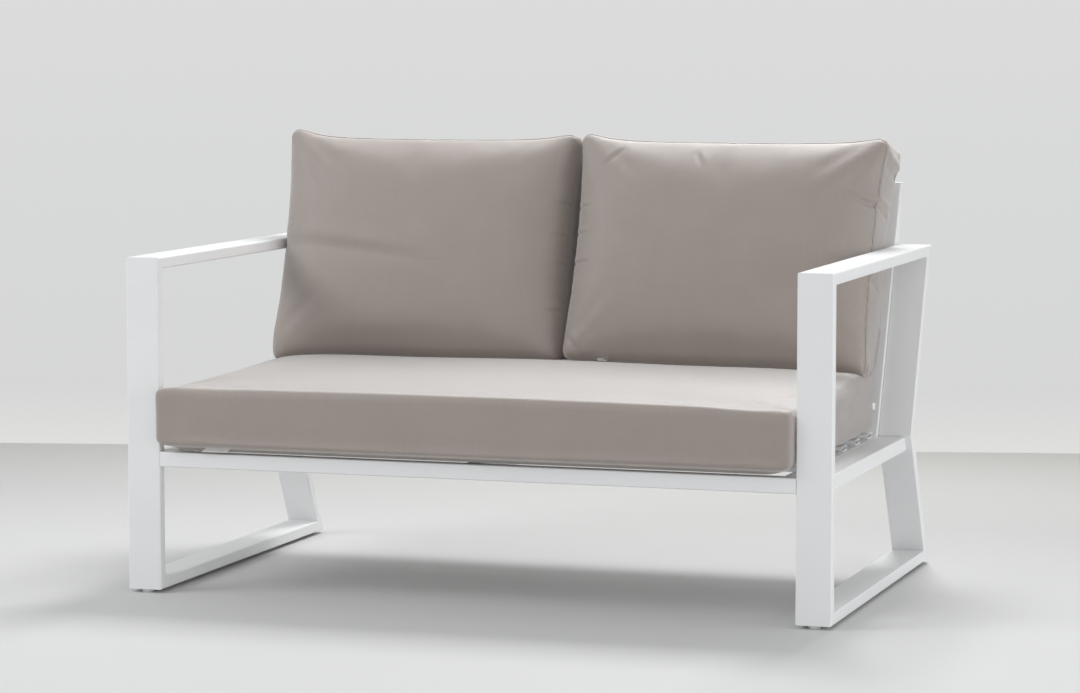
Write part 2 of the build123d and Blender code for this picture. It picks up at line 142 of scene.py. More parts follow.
floor_reach = 9
floor_depths = (-1.6, 2.4)
# Painted shade: the floor's colour darkens from its front towards the wall, a falloff of light
# painted into the floor.
painted_floor_falloff_tones = (
    (0.0, (0.70, 0.70, 0.70)),
    (0.45, (0.61, 0.61, 0.61)),
    (0.63, (0.525, 0.525, 0.52)),
    (1.0, (0.485, 0.48, 0.46)),
)
wall_foot = (Vector((-2.04, 1.70, 0)), Vector((0.64, 2.35, 0)))
wall_height = 2.2
wall_heights = (0.0, 1.3)
# Painted light: the wall glows in these tones for direct rays, graded by height, brightest at its
# foot and darkest a little above it.
painted_wall_light_tones = (
    (0.0, (0.740, 0.737, 0.725)),
    (0.12, (0.672, 0.675, 0.675)),
    (0.5, (0.686, 0.690, 0.692)),
    (1.0, (0.716, 0.716, 0.716)),
)

floor_shape = bmesh.new()
bmesh.ops.create_grid(floor_shape, x_segments=1, y_segments=1, size=floor_reach)
floor = link_mesh("floor", floor_shape)

floor_paint, tree, surface = blank_material("pale studio floor")
place = wire(tree, "TexCoord").outputs["Object"]
depth = remap(tree, wire(tree, "SeparateXYZ", {0: place}).outputs["Y"], floor_depths)
speck = wire(tree, "TexNoise", {"Vector": place, "Scale": 3.0, "Detail": 4.0}).outputs[0]
rough = remap(tree, speck, target=(0.55, 0.7))
# The floor tone along its depth is painted shade, darker towards the wall.
tone = ramp(tree, depth, painted_floor_falloff_tones)
shader = wire(tree, "BsdfPrincipled", {"Base Color": tone, "Roughness": rough})
tree.links.new(shader.outputs[0], surface)
clothe(floor, floor_paint)

wall_shape = bmesh.new()
bmesh.ops.create_grid(wall_shape, x_segments=1, y_segments=1, size=0.5)
run = wall_foot[1] - wall_foot[0]
middle = (wall_foot[0] + wall_foot[1]) / 2 + Vector((0, 0, wall_height / 2))
bmesh.ops.transform(
    wall_shape,
    verts=wall_shape.verts,
    matrix=Matrix.Translation(middle)
    @ Matrix.Rotation(math.atan2(run.y, run.x), 4, "Z")
    @ Matrix.Rotation(math.radians(90), 4, "X")
    @ Matrix.Diagonal((2 * floor_reach, wall_height, 1, 1)),
)
wall = link_mesh("wall", wall_shape)

wall_paint, tree, surface = blank_material("pale studio wall")
place = wire(tree, "TexCoord").outputs["Object"]
height = remap(tree, wire(tree, "SeparateXYZ", {0: place}).outputs["Z"], wall_heights)
# The wall's glow, graded by height, is painted light on the backdrop.
tone = ramp(tree, height, painted_wall_light_tones)
seen = wire(tree, "Emission", {"Color": tone, "Strength": 1.0})
lit = wire(tree, "BsdfDiffuse", {"Color": (0.75, 0.75, 0.74, 1)})
front = wire(tree, "MixShader", {0: direct_rays(tree), 1: lit.outputs[0], 2: seen.outputs[0]})
away = wire(tree, "NewGeometry").outputs["Backfacing"]
clear = wire(tree, "BsdfTransparent")
whole = wire(tree, "MixShader", {0: away, 1: front.outputs[0], 2: clear.outputs[0]})
tree.links.new(whole.outputs[0], surface)
clothe(wall, wall_paint)

# Light: one broad softbox high behind the seat, which throws the shadow forward, soft fills from
# the left, the right (behind a grid) and far in front, and an even pale sky all round.
sky = bpy.data.worlds.new("pale studio")
sky.use_nodes = True
tree = sky.node_tree
tree.nodes.clear()
around = wire(tree, "Background", {"Color": (0.97, 0.985, 1.0, 1), "Strength": 0.50})
behind = wire(tree, "Background", {"Color": (0.70, 0.70, 0.70, 1), "Strength": 1.0})
both = wire(tree, "MixShader", {0: direct_rays(tree), 1: around.outputs[0], 2: behind.outputs[0]})
wire(tree, "OutputWorld", {"Surface": both.outputs[0]})
scene.world = sky

for lamp_name, lamp_place, aim, lamp_size, power, spread in (
    ("back_softbox", (0.15, 1.95, 3.35), (0, 0, 0.3), (1.5, 1.4), 97, 180),
    ("left_fill", (-3.6, -2.6, 3.4), (0, 0, 0.4), (2.4, 2.0), 82, 180),
    ("front_fill", (0.4, -8.5, 1.7), (0, 0, 0.3), (5.0, 2.6), 50, 180),
    ("side_fill", (4.2, -0.8, 0.9), (0.6, 0, 0.4), (2.2, 1.4), 13, 90),
):
    lamp_data = bpy.data.lights.new(lamp_name, "AREA")
    lamp_data.shape = "RECTANGLE"
    lamp_data.size, lamp_data.size_y = lamp_size
    lamp_data.energy = power
    lamp_data.spread = math.radians(spread)
    lamp = place_object(lamp_name, lamp_data)
    lamp.location = lamp_place
    view = Vector(aim) - Vector(lamp_place)
    lamp.rotation_euler = view.to_track_quat("-Z", "Y").to_euler()


# Side frames: each is one loop of flat aluminium tube, mitred, welded and ground flush at five
# corners, then powder-coated white. The coat has a fine orange peel and is rubbed smooth along
# its edges.
def new_group(name, inputs, outputs):
    """A shader node group, its input sockets and its output sockets."""
    group = bpy.data.node_groups.new(name, "ShaderNodeTree")
    for label, kind, value in inputs:
        socket = group.interface.new_socket(
            label, in_out="INPUT", socket_type="NodeSocket" + kind
        )
        socket.default_value = value
    for label, kind in outputs:
        group.interface.new_socket(label, in_out="OUTPUT", socket_type="NodeSocket" + kind)
    start = group.nodes.new("NodeGroupInput")
    end = group.nodes.new("NodeGroupOutput")
    return group, start.outputs, end.inputs


def blend(tree, share, first, second, kind="FLOAT"):
    """The result of one Mix node, for values or, with RGBA, for colours."""
    low, result = (6, 2) if kind == "RGBA" else (2, 0)
    inputs = {0: share, low: first, low + 1: second}
    return wire(tree, "Mix", inputs, data_type=kind).outputs[result]


mottle, g_in, g_out = new_group(
    "fine mottle",
    (("Grain", "Float", 700.0), ("Cloud", "Float", 9.0)),
    (("Height", "Float"), ("Tone", "Float")),
)
place = wire(mottle, "TexCoord").outputs["Object"]
for result, size, detail in (("Height", "Grain", 2.0), ("Tone", "Cloud", 4.0)):
    speckle = wire(mottle, "TexNoise", {"Vector": place, "Scale": g_in[size], "Detail": detail})
    mottle.links.new(speckle.outputs[0], g_out[result])

# A mask along rounded edges, in patches: rub wear on the feet and the screws, and on the white
# coat also where a painted highlight goes.
edge_rub_and_highlight, g_in, g_out = new_group(
    "edge rub and highlight",
    (("Width", "Float", 0.002), ("Patches", "Float", 35.0)),
    (("Mask", "Float"),),
)
rounded = wire(edge_rub_and_highlight, "Bevel", {"Radius": g_in["Width"]}, samples=4).outputs[0]
plain = wire(edge_rub_and_highlight, "NewGeometry").outputs["Normal"]
turn = wire(edge_rub_and_highlight, "VectorMath", {0: rounded, 1: plain}, operation="DOT_PRODUCT")
edge = remap(edge_rub_and_highlight, turn.outputs["Value"], (0.995, 0.90))
place = wire(edge_rub_and_highlight, "TexCoord").outputs["Object"]
patch = wire(edge_rub_and_highlight, "TexNoise", {"Vector": place, "Scale": g_in["Patches"], "Detail": 3.0})
rub_and_highlight_mask = maths(edge_rub_and_highlight, "MULTIPLY", edge, patch.outputs[0])
edge_rub_and_highlight.links.new(rub_and_highlight_mask, g_out["Mask"])


def mottled_material(
    name, dark, light, roughness, grain, peel, rub=0.0, edge_rub_and_highlight_colour=None, **constants
):
    """A finish whose colour and roughness drift a little, with a fine bump and rubbed edges, whose
    edge colour is rub wear and, on the white coat, also a painted highlight.
    """
    material, tree, surface = blank_material(name)
    skin = wire(tree, "Group", {"Grain": grain}, node_tree=mottle).outputs
    colour = blend(tree, skin["Tone"], (*dark, 1), (*light, 1), "RGBA")
    rough = remap(tree, skin["Tone"], target=roughness)
    if edge_rub_and_highlight_colour:
        rub_and_highlight_mask = wire(tree, "Group", {"Width": rub}, node_tree=edge_rub_and_highlight).outputs["Mask"]
        colour = blend(tree, rub_and_highlight_mask, colour, (*edge_rub_and_highlight_colour, 1), "RGBA")
        rough = blend(tree, rub_and_highlight_mask, rough, roughness[0] * 0.7)
    bump = wire(tree, "Bump", {"Height": skin["Height"], "Strength": 0.5, "Distance": peel})
    shader = wire(
        tree,
        "BsdfPrincipled",
        {"Base Color": colour, "Roughness": rough, "Normal": bump.outputs[0], **constants},
    )
    tree.links.new(shader.outputs[0], surface)
    return material


def dress(nodes, material):
    """Gives carried-over CAD nodes their finish."""
    for node in nodes:
        for material_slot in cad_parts[node].material_slots:
            material_slot.material = material


white_coat = mottled_material(
    "white powder coat",
    dark=(0.825, 0.835, 0.84),
    light=(0.865, 0.87, 0.872),
    roughness=(0.36, 0.48),
    grain=650.0,
    peel=0.00006,
    rub=0.002,
    # Painted highlight: the coat is painted lighter along its rounded edges, as well as rubbed
    # smoother there.
    edge_rub_and_highlight_colour=(0.90, 0.905, 0.91),
)
sides = ("left", "right")
side_tubes = ("front_leg", "armrest", "upper_rear_leg", "lower_rear_leg", "floor_runner")
dress([f"{side}_{tube}" for side in sides for tube in side_tubes], white_coat)

# Seat frame: square tube rails between the side frames, a flat rail along each side, and six
# flat slats across. All of it is welded aluminium in the same white coat.
side_rails = [f"{side}_seat_{rail}_rail" for side in sides for rail in ("side", "end")]
cross_rails = [f"{place}_seat_rail" for place in ("front", "centre", "rear")]
dress([*side_rails, *cross_rails, "seat_slats"], white_coat)

# Backrest: two square posts that lean back beside the rear legs, two rails and eight upright
# slats between them, welded and coated like the seat frame.
back_parts = ("lower_rail", "top_rail", "slats")
dress([f"{side}_backrest_post" for side in sides], white_coat)
dress([f"backrest_{part}" for part in back_parts], white_coat)

# Post caps: white moulded plastic plugs, pressed into the open tops of the two backrest posts.
# They are slightly warmer and duller than the coat around them.
cap_plastic = mottled_material(
    "white cap plastic",
    dark=(0.70, 0.70, 0.69),
    light=(0.76, 0.76, 0.75),
    roughness=(0.5, 0.62),
    grain=900.0,
    peel=0.00008,
)
dress(["backrest_post_caps"], cap_plastic)

# Screws, washers and threaded inserts: turned stainless steel, brushed, with fine marks. They
# bolt the seat frame and the backrest to the side frames, and the inserts take the feet.
screw_steel = mottled_material(
    "brushed screw steel",
    dark=(0.52, 0.52, 0.51),
    light=(0.62, 0.62, 0.61),
    roughness=(0.25, 0.42),
    grain=1800.0,
    peel=0.00003,
    rub=0.0006,
    edge_rub_and_highlight_colour=(0.75, 0.75, 0.74),
    Metallic=1.0,
)
fixings = ("screws", "washers", "inserts")
hardware = [f"{held}_{fixing}" for held in ("seat_frame", "backrest") for fixing in fixings]
corners = [f"{end}_{side}" for end in ("front", "rear") for side in sides]
dress([*hardware, "foot_inserts", *[f"{corner}_foot_stud" for corner in corners]], screw_steel)

# Feet: four pale grey nylon discs, each moulded onto a stud that screws up into its runner.
# They are scuffed a little at the rim.
foot_plastic = mottled_material(
    "pale foot nylon",
    dark=(0.56, 0.57, 0.56),
    light=(0.63, 0.64, 0.63),
    roughness=(0.45, 0.6),
    grain=1100.0,
    peel=0.00008,
    rub=0.0015,
    edge_rub_and_highlight_colour=(0.50, 0.50, 0.49),
)
dress([f"{corner}_foot_pad" for corner in corners], foot_plastic)

# Seat cushion: one foam box cushion in a taupe outdoor weave. One panel wraps over its top and
# its soft front edge, and flat panels close its two ends. It lies loose on the slats.
weave, g_in, g_out = new_group(
    "plain weave",
    (
        ("Pitch", "Float", 0.0011),
        ("Lean", "Float", 0.0),
        ("Warp", "Color", (0.42, 0.37, 0.33, 1)),
        ("Weft", "Color", (0.40, 0.34, 0.30, 1)),
    ),
    (("Colour", "Color"), ("Roughness", "Float"), ("Height", "Float")),
)
slub_stretch = (0.5, 0.012)
noise_middle = (0.25, 0.75)

place = wire(weave, "TexCoord").outputs
flat, facing = (
    wire(
        weave,
        "VectorRotate",
        {"Vector": place[kind], "Angle": g_in["Lean"]},
        rotation_type="X_AXIS",
    ).outputs[0]
    for kind in ("Object", "Normal")
)
facing = wire(weave, "VectorMath", {0: facing}, operation="ABSOLUTE").outputs[0]
where = wire(weave, "SeparateXYZ", {0: flat}).outputs
faces = wire(weave, "SeparateXYZ", {0: facing}).outputs
end_panel, level_panel = (
    maths(weave, "GREATER_THAN", faces[way], maths(weave, "MAXIMUM", faces[a], faces[b]))
    for way, a, b in ((0, 1, 2), (2, 0, 1))
)
across, along = (
    maths(weave, "DIVIDE", way, g_in["Pitch"])
    for way in (
        blend(weave, end_panel, where[0], where[1]),
        blend(weave, level_panel, where[2], where[1]),
    )
)
counted = maths(weave, "ADD", maths(weave, "FLOOR", across), maths(weave, "FLOOR", along))
turn = maths(weave, "PINGPONG", counted, 1.0)
ridges, slubs = [], []
for way, stretch in ((across, slub_stretch), (along, slub_stretch[::-1])):
    wave = maths(weave, "SINE", maths(weave, "MULTIPLY", way, math.pi))
    ridges.append(maths(weave, "ABSOLUTE", wave))
    drawn = [maths(weave, "MULTIPLY", *pair) for pair in zip((across, along), stretch)]
    laid = wire(weave, "CombineXYZ", {0: drawn[0], 1: drawn[1]}).outputs[0]
    uneven = wire(weave, "TexNoise", {"Vector": laid, "Scale": 1.0, "Detail": 2.0})
    slubs.append(uneven.outputs[0])
thread = blend(weave, turn, *ridges)
slub = blend(weave, turn, *slubs)
cloud = wire(weave, "TexNoise", {"Vector": flat, "Scale": 14.0, "Detail": 3.0}).outputs[0]
# Painted shade: the yarn is painted darker in the hollows between thread crowns, and then drifts
# in tone with slubs and clouds.
thread_shade_and_tone = remap(weave, thread, target=(0.80, 1.06))
for drift, tones in ((slub, (0.94, 1.06)), (cloud, (0.965, 1.035))):
    thread_shade_and_tone = maths(weave, "MULTIPLY", thread_shade_and_tone, remap(weave, drift, noise_middle, tones))
yarn = blend(weave, turn, g_in["Warp"], g_in["Weft"], "RGBA")
tinted = wire(weave, "VectorMath", {0: yarn, "Scale": thread_shade_and_tone}, operation="SCALE").outputs[0]
raised = maths(weave, "ADD", thread, maths(weave, "MULTIPLY", slub, 0.4))
weave.links.new(tinted, g_out["Colour"])
weave.links.new(remap(weave, thread, target=(0.58, 0.45)), g_out["Roughness"])
weave.links.new(raised, g_out["Height"])


def woven_material(name, warp, weft, pitch, relief, sheen, lean=0.0):
    """Woven cloth whose threads follow the panels, square to their own lean."""
    material, tree, surface = blank_material(name)
    threads = {"Pitch": pitch, "Lean": lean, "Warp": (*warp, 1), "Weft": (*weft, 1)}
    cloth = wire(tree, "Group", threads, node_tree=weave).outputs
    bump = wire(tree, "Bump", {"Height": cloth["Height"], "Strength": 0.45, "Distance": relief})
    shader = wire(
        tree,
        "BsdfPrincipled",
        {
            "Base Color": cloth["Colour"],
            "Roughness": cloth["Roughness"],
            "Normal": bump.outputs[0],
            "Specular IOR Level": 1.0,
            "Sheen Weight": sheen,
            "Sheen Roughness": 0.5,
            "Sheen Tint": (1.0, 0.99, 0.98, 1),
        },
    )
    tree.links.new(shader.outputs[0], surface)
    return material


taupe_cloth = {
    "warp": (0.318, 0.265, 0.234),
    "weft": (0.293, 0.242, 0.212),
    "pitch": 0.0011,
    "relief": 0.00025,
    "sheen": 1.0,
}
level_cloth = woven_material("taupe weave, level", **taupe_cloth)


def read_rows(source, field):
    """One vector of each row of a mesh, as rows of an array."""
    rows = np.zeros(len(source) * 3)
    source.foreach_get(field, rows)
    return rows.reshape(-1, 3)


def read_points(piece):
    """A piece's points as rows of an array."""
    return read_rows(piece.data.vertices, "co")


def move_points(piece, points):
    """Puts a piece's points in new places."""
    piece.data.vertices.foreach_set("co", points.ravel())
    piece.data.update()


def make_final(piece):
    """Applies whatever modifiers a piece has."""
    graph = bpy.context.evaluated_depsgraph_get()
    final = bpy.data.meshes.new_from_object(piece.evaluated_get(graph), depsgraph=graph)
    piece.modifiers.clear()
    piece.data = final


def even_skin(name, node, quad):
    """The skin of a CAD filling, merged and laid out again in even quads."""
    skin = bmesh.new()
    skin.from_mesh(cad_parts[node].data)
    bmesh.ops.remove_doubles(skin, verts=skin.verts, dist=0.00002)
    piece = link_mesh(name, skin)
    remesh = piece.modifiers.new("even quads", "REMESH")
    remesh.mode = "VOXEL"
    remesh.voxel_size = quad
    make_final(piece)
    return piece


def even_out(piece, field, times, free=1.0):
    """Evens a value out over a piece's points, along its edges, a number of times."""
    ends = np.zeros(len(piece.data.edges) * 2, dtype=np.int32)
    piece.data.edges.foreach_get("vertices", ends)
    first, second = ends.reshape(-1, 2).T
    count = np.maximum(np.bincount(ends, minlength=len(field)), 1)[:, None]
    for _ in range(times):
        around = np.zeros_like(field)
        np.add.at(around, first, field[second])
        np.add.at(around, second, field[first])
        field = field + (around / count - field) / 2 * free
    return field


even_times = 10
stuffing_steps = 20


def stuff(piece, held, cap, slack):
    """Swells a skin as its filling does: held points stay, and no point moves further than its
    cap. The swelling is evened out, because thick cloth takes no small wrinkles."""
    rest = read_points(piece)
    sewn = piece.vertex_groups.new(name="sewn")
    for i in np.nonzero(held > 0)[0]:
        sewn.add([int(i)], float(held[i]), "REPLACE")
    cloth = piece.modifiers.new("stuffing", "CLOTH")
    cloth.settings.quality = 4
    cloth.settings.mass = 0.25
    cloth.settings.tension_stiffness = 20
    cloth.settings.compression_stiffness = 20
    cloth.settings.shear_stiffness = 8
    cloth.settings.bending_stiffness = 1.5
    cloth.settings.use_pressure = True
    cloth.settings.uniform_pressure_force = 4
    cloth.settings.shrink_min = -slack
    cloth.settings.vertex_group_mass = "sewn"
    cloth.settings.effector_weights.gravity = 0
    cloth.collision_settings.use_collision = False
    cloth.point_cache.frame_start = 1
    cloth.point_cache.frame_end = stuffing_steps
    for step in range(1, stuffing_steps + 1):
        scene.frame_set(step)
    make_final(piece)
    scene.frame_set(1)
    piece.vertex_groups.clear()
    shift = even_out(piece, read_points(piece) - rest, even_times)
    far = np.linalg.norm(shift, axis=1, keepdims=True)
    limit = cap[:, None]
    part = np.where(far > 0, limit * np.tanh(far / limit) / np.maximum(far, 1e-9), 1)
    move_points(piece, rest + shift * part)


def smooth_steps(low, high, value):
    """0 below low, 1 above high, and a soft step between."""
    share = np.clip((value - low) / (high - low), 0, 1)
    return share * share * (3 - 2 * share)


def bell(value, width):
    """1 at zero, and a soft fall to either side."""
    return np.exp(-((value / width) ** 2))


def smooth_faces(piece):
    """Shades a piece smooth."""
    for face in piece.data.polygons:
        face.use_smooth = True


def subdivide_once(piece):
    """One even subdivision of the whole piece."""
    finer = piece.modifiers.new("finer", "SUBSURF")
    finer.levels = finer.render_levels = 1
    make_final(piece)
    smooth_faces(piece)


# Its shape, in metres. A name that ends in x, y or z holds the stretch of that axis along which
# an effect comes in, and start, end, under, rear, left and right hold such a stretch too.
seat_low, seat_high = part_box("seat_cushion_foam")
seat_quad = 0.008
seat_half = 0.649
seat_reach = 0.6485
seat_top = 0.4105
seat_slack = 0.006
front_round, front_run = 0.007, 0.05
rear_round, rear_run = 0.038, 0.11
top_round = (0.012, 0.010)
under_round = (0.030, 0.014)
rear_under, rear_under_y = 0.8, (0.1, 0.23)
edge_rise, edge_forward = 0.010, 0.3
edge_height = 0.406
edge_widths = (0.028, 0.026)
edge_crown, crown_half = 0.7, 0.62
edge_rest, edge_rest_x = 0.4, (0.45, 0.64)
beside_rise, beside_x, beside_y, beside_z = 0.008, (0.55, 0.63), (-0.02, 0.08), (0.39, 0.42)
held_under, held_rear = (0.002, 0.02), (0.004, 0.03)
back_line, line_width = 0.102, 0.03
loaded_share, loaded_z = 0.9, (0.40, 0.42)
least_swell, held_swell, free_swell = 0.0010, 0.0005, 0.0065
end_swell, end_reach = 0.2, 0.05
low_height = 0.06
low_left, low_right = (-0.635, -0.605), (0.06, 0.01)
lip_rise, lip_width = 0.0025, 0.014
under_sag, sag_start, sag_end = 0.0085, (0.026, 0.038), (0.064, 0.080)
leg_face, leg_x = -0.4505, (0.60, 0.648)
leg_bulge, bulge_reach = 0.009, 0.012


def end_round(across, width):
    """How far an end has rounded off at each point: 0 up to a width from it, 1 at its very end."""
    share = np.clip((np.abs(across) - (seat_high.x - width)) / width, 0, 0.999)
    return 1 - np.sqrt(1 - share**2)


seat_cushion = even_skin("seat_cushion_body", "seat_cushion_foam", seat_quad)
at = read_points(seat_cushion)
x, y, z = at.T
x *= seat_reach / np.abs(x).max()
seat_high.x = seat_reach
near_front = np.clip((seat_low.y + front_run - y) / front_run, 0, 1)
near_rear = np.clip((y - seat_high.y + rear_run) / rear_run, 0, 1)
y += np.where(
    y < 0,
    front_round * end_round(x, front_round) * near_front,
    -rear_round * end_round(x, rear_round) * near_rear,
)
middle_z = (seat_low.z + seat_top) / 2
lift = np.clip((z - middle_z) / (seat_top - middle_z), -1, 1)
fuller = 1 + rear_under * smooth_steps(*rear_under_y, y)
z -= np.where(
    lift > 0,
    top_round[1] * end_round(x, top_round[0]) * lift,
    under_round[1] * end_round(x, under_round[0]) * lift * fuller,
)
near_edge = bell(y - seat_low.y, edge_widths[0]) * bell(z - edge_height, edge_widths[1])
near_edge *= 1 + edge_crown * np.clip(1 - (x / crown_half) ** 2, 0, 1)
near_edge *= 1 - edge_rest * smooth_steps(*edge_rest_x, x)
y -= edge_forward * edge_rise * near_edge
z += edge_rise * near_edge
beside_back = smooth_steps(*beside_x, x) * smooth_steps(*beside_y, y)
z += beside_rise * beside_back * smooth_steps(*beside_z, z)
move_points(seat_cushion, at)
x, y, z = read_points(seat_cushion).T
under = 1 - smooth_steps(*held_under, z - seat_low.z)
loaded = smooth_steps(back_line - line_width, back_line + line_width, y)
loaded *= loaded_share * smooth_steps(*loaded_z, z)
rear = 1 - smooth_steps(*held_rear, seat_high.y - y)
held = np.clip(np.maximum(np.maximum(under, loaded), rear), 0, 1)
from_end = smooth_steps(0, end_reach, seat_high.x - np.abs(x))
swell = (held_swell + free_swell * (1 - held)) * (end_swell + (1 - end_swell) * from_end)
stuff(seat_cushion, held, least_swell + swell, seat_slack)
subdivide_once(seat_cushion)
at = read_points(seat_cushion)
x, y, z = at.T
from_front = y - seat_low.y
low_part = 1 - smooth_steps(seat_low.z, seat_low.z + low_height, z)
low_part *= smooth_steps(*low_left, x)
low_part *= 1 - smooth_steps(seat_half - low_right[0], seat_half - low_right[1], x)
sag = smooth_steps(*sag_start, from_front) * (1 - smooth_steps(*sag_end, from_front))
z += (lip_rise * bell(from_front, lip_width) - under_sag * sag) * low_part
ahead_of_leg = smooth_steps(0, bulge_reach, leg_face - y) * smooth_steps(*leg_x, -x)
x -= leg_bulge * ahead_of_leg
move_points(seat_cushion, at)
clothe(seat_cushion, level_cloth)
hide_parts("seat_cushion_cover", "seat_cushion_foam")
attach(seat_cushion, "seat_cushion")

# Zips and seat labels: a taupe zip is sewn into the rear of the seat cushion and the underside
# of each back cushion. Two blank white woven ribbons are caught in the seat cushion's seams.
ribbon_thickness = 0.0005
zip_tape = woven_material(
    "taupe zip tape",
    warp=(0.30, 0.26, 0.23),
    weft=(0.27, 0.235, 0.21),
    pitch=0.0006,
    relief=0.0001,
    sheen=0.1,
)
label_ribbon = woven_material(
    "white label ribbon",
    warp=(0.86, 0.86, 0.85),
    weft=(0.80, 0.80, 0.79),
    pitch=0.0004,
    relief=0.00005,
    sheen=0.1,
)
dress(["seat_cushion_zip", "left_back_cushion_zip", "right_back_cushion_zip"], zip_tape)


def sew_ribbons(name, *ribbons):
    """Thin flat ribbons as one mesh, each from its path and its way across, closed all round."""
    shape = bmesh.new()
    for path, across in ribbons:
        path, across = [Vector(place) for place in path], Vector(across)
        rings = []
        for i, place in enumerate(path):
            run = path[min(i + 1, len(path) - 1)] - path[max(i - 1, 0)]
            out = run.cross(across).normalized() * ribbon_thickness / 2
            ways = ((-1, -1), (1, -1), (1, 1), (-1, 1))
            rings.append([shape.verts.new(place + a * across / 2 + b * out) for a, b in ways])
        for ring, after in zip(rings, rings[1:]):
            for k in range(4):
                shape.faces.new((ring[k], ring[(k + 1) % 4], after[(k + 1) % 4], after[k]))
        shape.faces.new(rings[0][::-1])
        shape.faces.new(rings[-1])
    bmesh.ops.recalc_face_normals(shape, faces=shape.faces)
    piece = link_mesh(name, shape)
    clothe(piece, label_ribbon)
    return piece


rear_tag = ((0.634, 0.2240, 0.349), (0.640, 0.2300, 0.3492), (0.6462, 0.2352, 0.3485))
front_strip = (
    (-0.5290, -0.4575, 0.2893),
    (-0.5275, -0.4555, 0.2913),
    (-0.5250, -0.4530, 0.2940),
    (-0.5215, -0.4505, 0.2980),
)
seat_ribbons = sew_ribbons(
    "seat_cushion_ribbons", (rear_tag, (0, 0, 0.014)), (front_strip, (0.053, 0, 0))
)
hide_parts("seat_cushion_labels")
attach(seat_ribbons, "seat_cushion")

# Back cushions: two boxed cushions of soft fibre in the same weave. A narrow self-covered piping
# is sewn into the seams round the front and the rear face. Each stands on the seat cushion and
# leans on the slats.
lean = math.atan(0.33)
leaning_cloth = woven_material("taupe weave, leaning", lean=lean, **taupe_cloth)
# Their shape, in metres: across, up along the lean, and back from the front seam
back_quad = 0.0065
back_half = 0.32435
back_height = 0.484
back_depth = 0.135
back_rise = 0.015
back_corner = 0.022
back_pull = 0.007
back_bottom = 0.4346
back_seam_y = 0.12436
back_apart = 0.00015
back_slack = 0.004
front_crown = 0.036
outer_roll = 0.022
inner_roll = {-1: 0.040, 1: 0.018}
top_roll = 0.030
under_rolls = ((0.42, 0.010), (0.58, 0.075))
front_belly = 0.022
piping_radius = 0.0011
seam_inset = 0.0028
seam_places, corner_places = (90, 70), 8
skin_gap = 0.0018
boxing_edge = (0.02, 0.008)


def to_cushion(points, centre):
    """Points of the frame as across, up along the lean, and back from the front seam."""
    y, z = points[:, 1] - back_seam_y, points[:, 2] - back_bottom
    up = y * math.sin(lean) + z * math.cos(lean)
    depth = y * math.cos(lean) - z * math.sin(lean)
    return np.stack((points[:, 0] - centre, up, depth), axis=1)


def from_cushion(points, centre):
    """The way back from the cushion's own directions to the frame."""
    x, up, depth = points.T
    y = back_seam_y + up * math.sin(lean) + depth * math.cos(lean)
    z = back_bottom + up * math.cos(lean) - depth * math.sin(lean)
    return np.stack((x + centre, y, z), axis=1)


def seam_line(depth, inset):
    """The cushion's outline at one depth, round from the bottom left corner to the left side."""
    half = back_half - inset
    low = depth * math.tan(lean) + inset
    high = back_height + back_rise * depth / back_depth - inset
    straight = half - back_corner
    middle, rise = (low + high) / 2, (high - low) / 2 - back_corner
    level, upright = (np.linspace(-1, 1, places) for places in seam_places)
    pulled = half - back_pull * (1 - upright**2)
    runs = (
        (level * straight, np.full_like(level, low)),
        (pulled, middle + rise * upright),
        (-level * straight, high - back_pull * (1 - level**2)),
        (-pulled, middle - rise * upright),
    )
    pieces = []
    for number, (across, up) in enumerate(runs):
        pieces.append((across, up))
        turns = np.radians(np.linspace(90 * number - 80, 90 * number - 10, corner_places))
        corner_x = straight if number < 2 else -straight
        corner_up = high - back_corner if number in (1, 2) else low + back_corner
        pieces.append(
            (corner_x + back_corner * np.cos(turns), corner_up + back_corner * np.sin(turns))
        )
    across, up = np.concatenate(pieces, axis=1)
    return np.stack((across, up, np.full_like(up, depth)), axis=1)


def along_seam(points, seam):
    """How far each point is from a seam, and how far along the seam its nearest place is."""
    tree = KDTree(len(seam))
    for i, point in enumerate(seam):
        tree.insert(point, i)
    tree.balance()
    steps = np.linalg.norm(np.diff(seam, axis=0, append=seam[:1]), axis=1)
    run = np.concatenate(((0,), np.cumsum(steps)[:-1]))
    near = [tree.find(point)[1:] for point in points]
    return np.array([n[1] for n in near]), run[np.array([n[0] for n in near])]


def pucker_rows(run, seed, pitch=0.029, patch=0.11, drift=0.06):
    """Uneven gathers along a seam, from -1 to 1, strong in some patches and faint in others."""
    strength = np.array([noise.noise(Vector((r / patch, seed, 0))) for r in run])
    shift = np.array([noise.noise(Vector((r / drift, seed + 7, 3))) for r in run])
    return np.sin(2 * math.pi * (run / pitch + shift)) * np.clip(0.45 + 1.4 * strength, 0, 1.3)


meet_start, meet_end = (0.45, 0.8), (0.90, 0.99)
meet_edge, meet_fade = (0.030, 0.012), 0.03
end_inset, rear_inset, above_seat = 0.006, 0.025, 0.6
heel_height, heel_fade, heel_gap = 0.05, 0.045, 0.0004
# How each cushion's corners are pulled: across, up (1 is the top), outward and upward
corner_sets = {
    -1: ((-1, 1, 0.004, 0.013), (1, 1, 0.003, 0.009), (-1, 0, 0.004, 0.0), (1, 0, 0.001, 0.0)),
    1: ((-1, 1, 0.004, 0.009), (1, 1, 0.003, 0.005), (-1, 0, 0.001, 0.0), (1, 0, 0.003, -0.003)),
}
ear_width, tip_width = 0.06, 0.022
tip_pull = (0.003, 0.004)
left_lean, right_lean = -0.0095, (0.006, 0.003)
gap_turn, gap_width = 0.030, 0.020
rear_narrowing = 0.002
loose_boxing, loose_up, loose_widths = 0.008, 0.045, (0.05, 0.045)
tuck_depth, tuck_width, tuck_reach = 0.013, 0.006, 0.04


